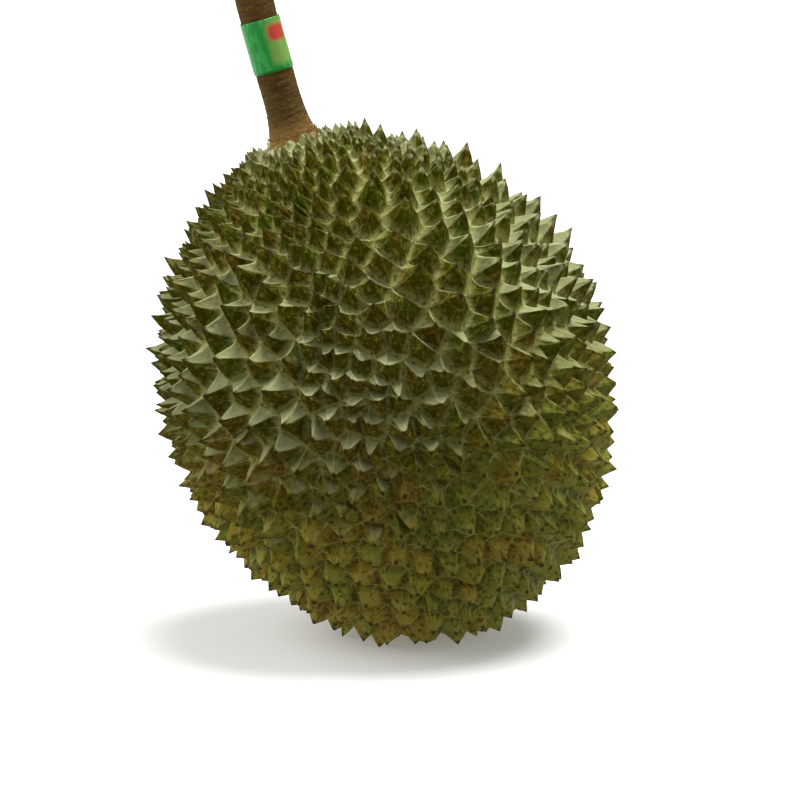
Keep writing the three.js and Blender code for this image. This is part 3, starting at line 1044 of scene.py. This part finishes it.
    def _hollow_rows(
        self, skin: "Skin", left: np.ndarray, right: np.ndarray, rows: np.ndarray, depth: float, tone: float
    ) -> list[list[int]]:
        """Makes the inner vertices of a flank, row by row between its ridges.

        Args:
            skin: the skin that they are part of.
            left: points up the left ridge.
            right: points up the right ridge.
            rows: shares up the flank.
            depth: how hollow the flank is, as a share of its width.
            tone: the spine's tone.

        Returns:
            The vertices of each row between the foot and the tip.
        """
        square = np.cross(right[0] - left[0], left[-1] - left[0])
        square /= max(1e-9, np.linalg.norm(square))
        made = []
        for row in range(1, len(rows) - 1):
            wide = np.linalg.norm(right[row] - left[row])
            inner = []
            for share in self.across[1:-1]:
                spot = left[row] * (1 - share) + right[row] * share
                spot = spot - square * depth * wide * 4 * share * (1 - share)
                inner.append(skin.add(spot, rows[row], 0.0, tone))
            made.append(inner)
        return made


@dataclass
class Skin:
    """Gathers the vertices, faces, attributes and map of a surface made of patches."""

    coarse: tuple[float, float] = (3.1, 0.42)  # how wide and how high its lumps are
    fine: tuple[float, float] = (1.1, 0.16)
    seed: int = 11
    points: list[np.ndarray] = field(default_factory=list)
    marks: list[tuple[float, float, float]] = field(default_factory=list)
    faces: list[tuple[int, ...]] = field(default_factory=list)
    places: list[tuple[float, float]] = field(default_factory=list)

    def add(self, point: np.ndarray, up: float, ridge: float, tone: float) -> int:
        """Adds a vertex.

        Args:
            point: where it is, in millimetres.
            up: how far up the flank, 0 to 1.
            ridge: 1 on a ridge, 0 away from it.
            tone: the spine's own tone, 0 to 1.

        Returns:
            Its number.
        """
        self.points.append(point)
        self.marks.append((up, ridge, tone))
        return len(self.points) - 1

    def patch(
        self,
        grid: list[list[int]],
        tip: int,
        across: Sequence[float],
        rows: Sequence[float],
        width: float,
        slant: float,
        shift: tuple[float, float],
    ) -> None:
        """Adds the faces of one flank.

        Args:
            grid: vertex numbers, row by row from the valley up.
            tip: the tip's vertex.
            across: shares across the flank.
            rows: shares up the flank, with the tip's.
            width: the flank's width at its foot, in millimetres.
            slant: its length up a ridge, in millimetres.
            shift: where the flank lies on the map, in millimetres.
        """
        spots = [[(shift[0] + u * width, shift[1] + v * slant) for u in across] for v in rows]
        for row in range(len(grid) - 1):
            for col in range(len(across) - 1):
                ids = [(row, col), (row, col + 1), (row + 1, col + 1), (row + 1, col)]
                self.faces.append(tuple(grid[r][c] for r, c in ids))
                self.places.extend(spots[r][c] for r, c in ids)
        top = len(grid) - 1
        for col in range(len(across) - 1):
            self.faces.append((grid[top][col], grid[top][col + 1], tip))
            self.places.extend([spots[top][col], spots[top][col + 1], (shift[0] + width / 2, shift[1] + slant)])

    def make(self, name: str, turn: Quaternion, stand: Vector) -> bpy.types.Object:
        """Makes the object, worn flat where it stands.

        Args:
            name: its name.
            turn: how it is turned.
            stand: where it stands, in millimetres.

        Returns:
            The object.
        """
        noise.seed_set(self.seed)  # without it, noise_vector takes its seed from the clock
        rough = np.array([
            sum((noise.noise_vector(Vector(p) / wide) * high for wide, high in (self.coarse, self.fine)), Vector())
            for p in self.points
        ])
        points = (np.array(self.points) + rough) @ np.array(turn.to_matrix()).T + np.array(stand)
        points[:, 2] = np.maximum(points[:, 2], 0.0)
        made = make_object(name, points, self.faces)
        for column, mark in enumerate(("up", "ridge", "tone")):
            set_attribute(made, mark, [m[column] for m in self.marks])
        layer = made.data.uv_layers.new(name="flank")
        layer.data.foreach_set("uv", np.array(self.places).ravel())
        return made


@dataclass(frozen=True)
class StemForm:
    """The stem's form on its own axis, foot at zero, and where it stands in the rind."""

    length: float = 76.0
    radius: float = 7.6
    foot_radius: float = 10.7
    foot_rise: float = 19.0
    knob_radius: float = 8.3
    knob_rise: float = 9.0
    dome_rise: float = 7.0
    lean_deg: float = 16.2
    bend_deg: float = 1.5
    shift: float = 4.7
    sink: float = 3.2
    tape_low: float = 29.0
    tape_width: float = 22.5

    def radius_at(self, z: float) -> float:
        """Works out the flare, the slight waist and the swollen rounded end.

        Args:
            z: the height above the foot.

        Returns:
            The radius there.
        """
        top = self.length - self.dome_rise
        if z > top:
            return self.knob_radius * math.sqrt(max(0.0, 1 - ((z - top) / self.dome_rise) ** 2))
        flare = (self.foot_radius - self.radius) * max(0.0, 1 - z / self.foot_rise) ** 2
        share = min(1.0, max(0.0, (z - top + self.knob_rise) / self.knob_rise))
        swell = (self.knob_radius - self.radius) * share * share * (3 - 2 * share)
        return self.radius + flare + swell

    def place(self, points: np.ndarray, fruit: FruitForm, stand: Vector) -> np.ndarray:
        """Bends points made round the straight axis and stands them in the fruit.

        Args:
            points: one row of x, y and z for each point.
            fruit: the fruit's form.
            stand: where the fruit's centre stands.

        Returns:
            The points in the part's own frame.
        """
        bent = np.array(points, dtype=float)
        bent[:, 0] += math.tan(math.radians(self.bend_deg)) * bent[:, 2] ** 2 / (2 * self.length)
        bent[:, 2] -= self.sink
        turn = Quaternion((0, 1, 0), math.radians(-self.lean_deg))
        pole = fruit.leaning @ Vector((self.shift, 0, fruit.to_stem)) + stand
        return bent @ np.array(turn.to_matrix()).T + np.array(pole)


@dataclass(frozen=True)
class Wrinkle:
    """One kind of wrinkle in the bark."""

    height: float
    crowding: float  # round the stem
    length: float  # along the stem
    start: tuple[float, float] = (0.0, 0.0)  # of its pattern, so that no two kinds run alike

    def at(self, angle: float, z: float) -> float:
        """How high it stands at a turn round the stem and a height up it."""
        around = Vector((math.cos(angle), math.sin(angle), 0)) * self.crowding
        return self.height * noise.noise(around + Vector((*self.start, z / self.length)))


@dataclass
class Stem:
    """The woody stem with its corky dots, and the dry fibres round its foot."""

    fruit: FruitForm
    form: StemForm
    stand: Vector
    sides: int = 112
    step: float = 0.6
    dome_deg: tuple[float, ...] = (0, 12, 24, 36, 48, 58, 67, 75, 82)  # where the rows of the rounded end lie
    dent: float = 1.1  # of the middle of the end
    inset: float = 0.12
    wrinkles: tuple[Wrinkle, ...] = (  # rings, lumps and fine furrows
        Wrinkle(0.13, 0.9, 1.9),
        Wrinkle(0.2, 1.7, 8.0, (7.0, 0.0)),
        Wrinkle(0.07, 9.0, 14.0, (0.0, 5.0)),
    )
    dots_per_mm2: float = 0.12
    dot_size: float = 0.42
    dot_shape: tuple[float, float, float] = (1.5, 0.9, 0.45)
    dot_chance: tuple[float, float] = (0.45, 1.1)  # smallest and largest share of the size
    dot_gap: float = 2.0  # bare of dots, above and below the tape
    fibres: int = 64
    fibre_length: float = 1.8
    fibre_radius: float = 0.2
    fibre_tip: float = 0.04
    fibre_chance: tuple[float, float] = (0.55, 1.15)
    finish: BarkFinish = field(default_factory=BarkFinish)

    def build(self) -> list[bpy.types.Object]:
        """Builds the stem, its dots and its fibres.

        Returns:
            The three objects.
        """
        bark = self.finish.build()
        trunk = self._trunk()
        trunk.data.materials.append(bark)
        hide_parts("stem")
        pieces = [trunk, self._dots(trunk, bark), self._fringe(bark)]
        for piece in pieces:
            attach(piece, "root")
        return pieces

    def _trunk(self) -> bpy.types.Object:
        """Builds the stem as one closed skin, from the middle of its foot to the middle of its end.

        Returns:
            The skin, with its heights and its map.
        """
        form = self.form
        top = form.length - form.dome_rise
        heights = list(np.arange(0, top, self.step))
        heights += [top + form.dome_rise * math.sin(math.radians(a)) for a in self.dome_deg]
        skin = []
        for z in heights:
            for side in range(self.sides):
                angle = side * 2 * math.pi / self.sides
                wrinkled = sum(wrinkle.at(angle, z) for wrinkle in self.wrinkles)
                radius = form.radius_at(z) - self.inset + wrinkled
                skin.append((radius * math.sin(angle), -radius * math.cos(angle), z))
        points = np.array([(0, 0, 0), *skin, (0, 0, form.length - self.dent)])
        last = len(points) - 1
        faces, places = [], []
        circle = 2 * math.pi * form.radius
        base = last - self.sides
        for row in range(len(heights) - 1):
            for col in range(self.sides):
                a, b = 1 + row * self.sides + col, 1 + row * self.sides + (col + 1) % self.sides
                faces.append((a, b, b + self.sides, a + self.sides))
                left, right = col / self.sides * circle, (col + 1) / self.sides * circle
                low, high = heights[row], heights[row + 1]
                places += [(left, low), (right, low), (right, high), (left, high)]
        for col in range(self.sides):
            after = (col + 1) % self.sides
            faces += [(0, 1 + after, 1 + col), (base + col, base + after, last)]
            places += [(0, 0), (0.5, 0), (0, 0.5), (0, form.length), (0.5, form.length), (0, form.length)]
        made = make_object("stem_trunk", form.place(points, self.fruit, self.stand), faces)
        set_attribute(made, "height", points[:, 2] / form.length)
        made.data.uv_layers.new(name="wrap").data.foreach_set("uv", np.array(places).ravel())
        return made

    def _dots(self, trunk: bpy.types.Object, bark: bpy.types.Material) -> bpy.types.Object:
        """Scatters the raised corky dots over the bare bark.

        Args:
            trunk: the stem's skin.
            bark: the finish of the dots.

        Returns:
            The dots, joined into one mesh.
        """
        sizes = {"Dots per square metre": self.dots_per_mm2 / MM**2, "Dot size": self.dot_size * MM}
        growth = Growth("stem_corky_dots", sizes)
        tree, given = growth.tree, growth.given
        up = add_node(tree, "GeometryNodeInputNamedAttribute", {"Name": "height"}, data_type="FLOAT").outputs[0]
        low = (self.form.tape_low - self.dot_gap) / self.form.length
        high = (self.form.tape_low + self.form.tape_width + self.dot_gap) / self.form.length
        below = add_node(tree, "FunctionNodeCompare", {0: up, 1: low}, operation="LESS_THAN").outputs[0]
        above = add_node(tree, "FunctionNodeCompare", {0: up, 1: high}, operation="GREATER_THAN").outputs[0]
        bare = add_node(tree, "FunctionNodeBooleanMath", {0: below, 1: above}, operation="OR").outputs[0]
        scatter = {"Mesh": given["Ground"], "Selection": bare, "Density": given["Dots per square metre"], "Seed": 4}
        spots = add_node(tree, "GeometryNodeDistributePointsOnFaces", scatter).outputs
        ball = add_node(tree, "GeometryNodeMeshIcoSphere", {"Radius": given["Dot size"], "Subdivisions": 2})
        flat = {"Geometry": ball.outputs["Mesh"], "Scale": self.dot_shape}
        flat = add_node(tree, "GeometryNodeTransform", flat).outputs["Geometry"]
        chance = {2: self.dot_chance[0], 3: self.dot_chance[1], "Seed": 9}
        size = add_node(tree, "FunctionNodeRandomValue", chance, data_type="FLOAT").outputs[1]
        stand = {"Points": spots["Points"], "Instance": flat, "Rotation": spots["Rotation"], "Scale": size}
        dots = add_node(tree, "GeometryNodeInstanceOnPoints", stand).outputs["Instances"]
        return growth.run(trunk, dots, bark)

    def _fringe(self, bark: bpy.types.Material) -> bpy.types.Object:
        """Stands dry fibres round the foot, leaning out over the rind.

        Args:
            bark: the finish of the fibres.

        Returns:
            The fibres, joined into one mesh.
        """
        draw = seeded_random(77)
        roots, tips = [], []
        for i in range(self.fibres):
            angle = (i + 0.8 * draw()) * 2 * math.pi / self.fibres
            z = self.form.sink + 0.1 + 0.9 * draw()
            out = self.form.radius_at(z) - 0.2 + 0.5 * draw()
            roots.append((out * math.sin(angle), -out * math.cos(angle), z))
            spread = out + 0.3 + 0.6 * draw()
            skew = angle + 0.22 * (draw() - 0.5)
            tips.append((spread * math.sin(skew), -spread * math.cos(skew), z + 0.4 + 2.2 * draw()))
        points = self.form.place(np.array(roots), self.fruit, self.stand)
        ends = self.form.place(np.array(tips), self.fruit, self.stand)
        ground = make_object("fibre_roots", points, [])
        aims = ground.data.attributes.new("aim", "FLOAT_VECTOR", "POINT")
        aims.data.foreach_set("vector", (ends - points).ravel())
        sizes = {"Fibre length": self.fibre_length * MM, "Fibre radius": self.fibre_radius * MM}
        growth = Growth("stem_foot_fibres", sizes)
        tree, given = growth.tree, growth.given
        cone = {"Vertices": 6, "Side Segments": 3, "Radius Top": self.fibre_tip * MM}
        cone |= {"Radius Bottom": given["Fibre radius"], "Depth": given["Fibre length"]}
        blade = add_node(tree, "GeometryNodeMeshCone", cone).outputs["Mesh"]
        aim = add_node(tree, "GeometryNodeInputNamedAttribute", {"Name": "aim"}, data_type="FLOAT_VECTOR").outputs[0]
        turn = add_node(tree, "FunctionNodeAlignRotationToVector", {"Vector": aim}, axis="Z").outputs["Rotation"]
        chance = {2: self.fibre_chance[0], 3: self.fibre_chance[1], "Seed": 3}
        size = add_node(tree, "FunctionNodeRandomValue", chance, data_type="FLOAT").outputs[1]
        spots = add_node(tree, "GeometryNodeMeshToPoints", {"Mesh": given["Ground"]}).outputs["Points"]
        stand = {"Points": spots, "Instance": blade, "Rotation": turn, "Scale": size}
        fibres = add_node(tree, "GeometryNodeInstanceOnPoints", stand).outputs["Instances"]
        made = growth.run(ground, fibres, bark)
        bpy.data.objects.remove(ground)
        return made


@dataclass
class TapeBand:
    """Film tape wound twice round the stem, the second turn a little higher than the first."""

    fruit: FruitForm
    form: StemForm
    stand: Vector
    turns: float = 1.9
    start_deg: float = 150.0
    clearance: float = 0.2
    margin: float = 0.5  # between the film's edges and the band's
    climb: float = 1.1
    wind_lift: float = 0.34  # of the last turn over the first
    end_lift: float = 0.25  # of the film's loose end
    end_share: float = 0.025  # of the film that is loose
    ripple: float = 0.09
    nick: float = 0.18
    thickness: float = 0.16
    steps_around: int = 210
    steps_along: int = 30
    finish: FilmFinish = field(default_factory=FilmFinish)

    def _spot(self, share: float, up: float) -> tuple[tuple[float, float, float], tuple[float, float]]:
        """Finds a point of the film and its place on the map.

        Args:
            share: how far round the film, 0 to 1.
            up: how far up the film, 0 to 1.

        Returns:
            The point on the stem's straight axis, and its place round and up the stem.
        """
        form = self.form
        angle = math.radians(self.start_deg) - share * self.turns * 2 * math.pi
        ripple = self.ripple * noise.noise(Vector((angle * 2.2, up * 2.5, 3.0)))
        nick = self.nick * noise.noise(Vector((angle * 1.3, 9.0, 0.0))) * (2 * up - 1)
        height = form.tape_width - 2 * self.margin - self.climb
        z = form.tape_low + self.margin + height * up + self.climb * share + nick
        loose = max(0.0, share - 1 + self.end_share) / self.end_share
        radius = form.radius_at(z) + self.clearance + self.wind_lift * share + ripple + self.end_lift * loose
        front = (angle + math.pi) % (2 * math.pi) - math.pi
        return (radius * math.sin(angle), -radius * math.cos(angle), z), (front * form.radius, z - form.tape_low)

    def build(self) -> bpy.types.Object:
        """Builds the band.

        Returns:
            The object, which stands for the solid band.
        """
        form = self.form
        around, upwards = range(self.steps_around + 1), range(self.steps_along + 1)
        spots = [self._spot(i / self.steps_around, j / self.steps_along) for i in around for j in upwards]
        points, places = zip(*spots)
        faces = []
        row = self.steps_along + 1
        for i in range(self.steps_around):
            for j in range(self.steps_along):
                a = i * row + j
                faces.append((a, a + 1, a + row + 1, a + row))
        made = make_object("stem_tape_film", form.place(np.array(points), self.fruit, self.stand), faces)
        layer = made.data.uv_layers.new(name="wrap")
        corners = np.array([places[v] for face in faces for v in face]).reshape(-1, 4, 2)
        span = corners[:, :, 0].max(axis=1) - corners[:, :, 0].min(axis=1)
        seam = (span > math.pi * form.radius)[:, None] & (corners[:, :, 0] < 0)
        corners[:, :, 0] += np.where(seam, 2 * math.pi * form.radius, 0.0)
        layer.data.foreach_set("uv", corners.ravel())
        skin = made.modifiers.new("thickness", "SOLIDIFY")
        skin.thickness = self.thickness * MM
        skin.offset = -1.0
        made.data.materials.append(self.finish.build())
        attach(made, "root")
        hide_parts("stem_tape")
        return made


# ---- Studio -------------------------------------------------------------------------------------


@dataclass(frozen=True)
class Lamp:
    """A wide, far lamp."""

    name: str
    source: tuple[float, float, float]  # the way its light comes from
    power: float
    angle_deg: float  # how wide its source looks, which softens the shadows

    def build(self) -> None:
        """Adds the lamp to the scene."""
        light = bpy.data.lights.new(self.name, "SUN")
        light.energy = self.power
        light.angle = math.radians(self.angle_deg)
        lamp = bpy.data.objects.new(self.name, light)
        lamp.location = self.source
        lamp.rotation_mode = "QUATERNION"
        lamp.rotation_quaternion = Vector(self.source).to_track_quat("Z", "Y")
        bpy.context.scene.collection.objects.link(lamp)


@dataclass
class Studio:
    """The pale floor, the soft light and the camera."""

    aim: tuple[float, float, float] = (-0.0076, 0.0, 0.0949)
    elevation_deg: float = 10.0
    distance: float = 1.5
    frame_width: float = 0.320
    floor_radius: float = 30.0
    floor_sides: int = 64
    floor_gap: float = 0.00005  # under the fruit
    sky: float = 0.39
    backdrop: float = 0.95
    lamps: tuple[Lamp, ...] = (
        Lamp("key", (0.24, 0.08, 1.0), 4.1, 38.0),
        Lamp("left", (-0.9, 0.0, 0.6), 2.1, 60.0),
        Lamp("right", (0.9, -0.3, 0.1), 0.4, 60.0),
    )
    finish: FloorFinish = field(default_factory=FloorFinish)

    def build(self) -> bpy.types.Object:
        """Builds the studio.

        Returns:
            The floor.
        """
        turns = np.arange(self.floor_sides) * 2 * math.pi / self.floor_sides
        disc = np.column_stack((np.cos(turns), np.sin(turns))) * self.floor_radius
        points = np.column_stack((disc, np.full(self.floor_sides, -self.floor_gap))) / MM
        floor = make_object("floor", points, [tuple(range(self.floor_sides))])
        floor.data.materials.append(self.finish.build())
        floor.visible_diffuse = False
        for lamp in self.lamps:
            lamp.build()
        self._world()
        self._camera()
        bpy.context.scene.view_settings.view_transform = "Standard"
        return floor

    def _world(self) -> None:
        """Sets an even sky that lights softly from all sides, and plain white where the camera sees it."""
        world = bpy.data.worlds.new("studio")
        bpy.context.scene.world = world
        world.use_nodes = True
        tree = world.node_tree
        tree.nodes.clear()
        seen = add_node(tree, "ShaderNodeLightPath").outputs["Is Camera Ray"]
        strength = add_node(tree, "ShaderNodeMix", {0: seen, 2: self.sky, 3: self.backdrop}).outputs[0]
        sky = add_node(tree, "ShaderNodeBackground", {"Color": (1, 1, 1, 1), "Strength": strength})
        add_node(tree, "ShaderNodeOutputWorld", {"Surface": sky.outputs[0]})

    def _camera(self) -> None:
        """Sets the camera at the front, a little above the fruit's middle."""
        data = bpy.data.cameras.new("camera")
        camera = bpy.data.objects.new("camera", data)
        bpy.context.scene.collection.objects.link(camera)
        tilt = math.radians(self.elevation_deg)
        back = Vector((0, -math.cos(tilt), math.sin(tilt)))
        data.lens = data.sensor_width * self.distance / self.frame_width
        camera.location = Vector(self.aim) + back * self.distance
        camera.rotation_mode = "QUATERNION"
        camera.rotation_quaternion = (-back).to_track_quat("-Z", "Y")
        bpy.context.scene.camera = camera


def main() -> None:
    """Builds the durian and its studio."""
    logging.basicConfig(level=logging.INFO, format="%(message)s")
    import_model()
    fruit, stem = FruitForm(), StemForm()
    husk = Husk(fruit)
    made = [husk.build()]
    made += Stem(fruit, stem, husk.stand).build()
    made.append(TapeBand(fruit, stem, husk.stand).build())
    made.append(Studio().build())
    for piece in made:
        log.info("%s: %d faces", piece.name, len(piece.data.polygons))


if __name__ == "__main__":
    main()
